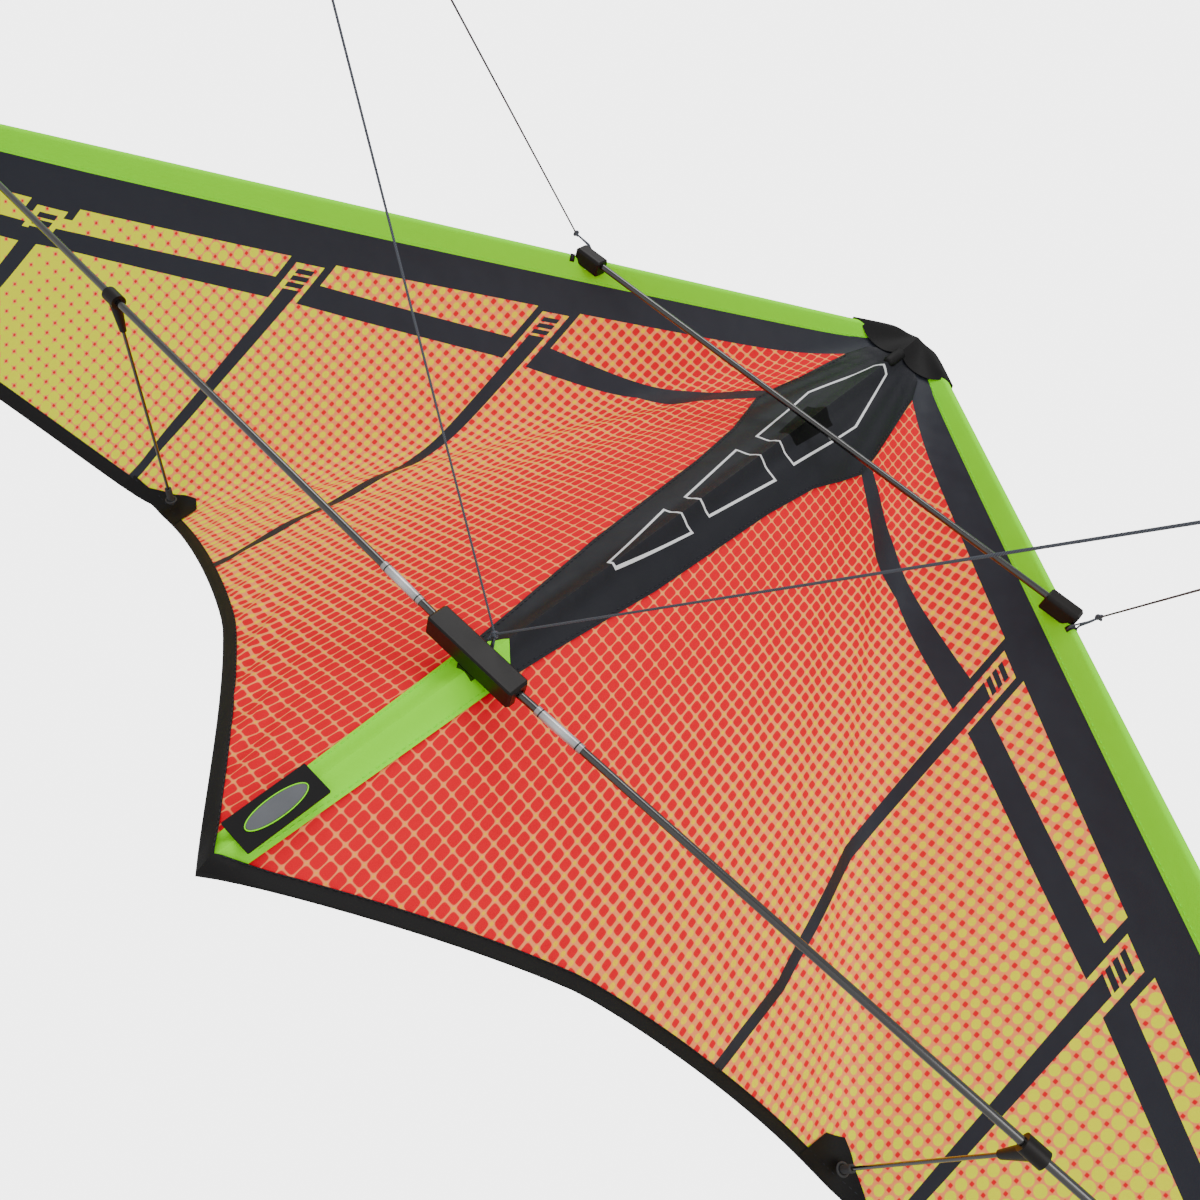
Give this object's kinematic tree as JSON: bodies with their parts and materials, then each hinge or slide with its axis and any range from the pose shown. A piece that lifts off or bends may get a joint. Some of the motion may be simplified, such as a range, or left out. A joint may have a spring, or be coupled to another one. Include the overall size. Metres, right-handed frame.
{
  "type": "dual-line delta kite",
  "caption": "Delta stunt kite: printed sail halves on leading-edge rods, a spine, upper and lower spreaders, stand-offs and a line bridle.",
  "frame": {"origin": "on the spine's axis at the centre fitting where the lower spreaders meet", "axes": "+Z along the spine to the nose, +Y to the back of the sail, +X along the right wing as seen from the bridle side"},
  "size_m": [1.5788, 0.578, 0.7024],
  "materials": {
    "carbon_rod": "glossy wrapped carbon tube",
    "moulded_black": "fine matt moulding",
    "sail_fabric": "printed ripstop, low sheen",
    "lime_fabric": "woven polyester",
    "black_fabric": "woven polyester",
    "label_silver": "satin foil sleeve",
    "boot_rubber": "soft matt",
    "bridle_line": "tight braid",
    "badge_grey": "satin"
  },
  "bodies": {
    "spine_frame": {"spine": "carbon_rod", "spine_top_cap": "moulded_black", "spine_tail_cap": "moulded_black", "centre_t": "moulded_black", "bridle_knot": "bridle_line"},
    "upper_spreader_frame": {"upper_spreader": "carbon_rod", "upper_connector_right": "moulded_black", "upper_connector_left": "moulded_black"},
    "tail_flap": {"tail_tab": "black_fabric", "tail_tab_badge": "badge_grey"},
    "left_wing": {"leading_edge_upper_left": "carbon_rod", "leading_edge_lower_left": "carbon_rod", "leading_edge_ferrule_left": "carbon_rod", "tip_cap_left": "moulded_black", "leading_edge_sleeve_left": "lime_fabric", "sail_left": "sail_fabric", "trailing_binding_left": "black_fabric", "lower_connector_left": "moulded_black", "lower_spreader_left": "carbon_rod", "rod_label_left": "label_silver", "keel_patch_left": "black_fabric", "tail_patch_left": "lime_fabric", "nose_cover_left": "black_fabric", "standoff_patch_left": "black_fabric", "standoff_socket_left": "moulded_black", "outhaul_knot_left": "bridle_line", "tow_knot_left": "bridle_line", "bridle_inhaul_left": "bridle_line", "bridle_outhaul_left": "bridle_line"},
    "left_standoff": {"standoff_clip_left": "moulded_black", "standoff_rod_left": "carbon_rod", "standoff_boot_left": "boot_rubber"},
    "right_wing": {"leading_edge_upper_right": "carbon_rod", "leading_edge_lower_right": "carbon_rod", "leading_edge_ferrule_right": "carbon_rod", "tip_cap_right": "moulded_black", "leading_edge_sleeve_right": "lime_fabric", "sail_right": "sail_fabric", "trailing_binding_right": "black_fabric", "lower_connector_right": "moulded_black", "lower_spreader_right": "carbon_rod", "rod_label_right": "label_silver", "keel_patch_right": "black_fabric", "tail_patch_right": "lime_fabric", "nose_cover_right": "black_fabric", "standoff_patch_right": "black_fabric", "standoff_socket_right": "moulded_black", "outhaul_knot_right": "bridle_line", "tow_knot_right": "bridle_line", "bridle_inhaul_right": "bridle_line", "bridle_outhaul_right": "bridle_line"},
    "right_standoff": {"standoff_clip_right": "moulded_black", "standoff_rod_right": "carbon_rod", "standoff_boot_right": "boot_rubber"}
  },
  "joints": [
    {"name": "right_wing_fold", "type": "hinge", "parent": "spine_frame", "child": "right_wing", "pos_m": [0, 0, 0], "axis": [0, 0, 1], "range_deg": [0, 55]},
    {"name": "left_wing_fold", "type": "hinge", "parent": "spine_frame", "child": "left_wing", "pos_m": [0, 0, 0], "axis": [0, 0, -1], "range_deg": [0, 55]},
    {"name": "upper_spreader_release", "type": "slide", "parent": "spine_frame", "child": "upper_spreader_frame", "axis": [0, -1, 0], "range_m": [0, 0.03]},
    {"name": "right_standoff_swing", "type": "hinge", "parent": "right_wing", "child": "right_standoff", "pos_m": [0.367, -0.0098, 0.01227], "axis": [-0.9994, -0.0089, -0.0334], "range_deg": [0, 100]},
    {"name": "left_standoff_swing", "type": "hinge", "parent": "left_wing", "child": "left_standoff", "pos_m": [-0.367, -0.0098, 0.01227], "axis": [-0.9994, 0.0089, 0.0334], "range_deg": [0, 100]},
    {"name": "tail_flap_lift", "type": "hinge", "parent": "spine_frame", "child": "tail_flap", "pos_m": [0, -0.0056, -0.109], "axis": [-1, 0, 0], "range_deg": [0, 150]}
  ]
}
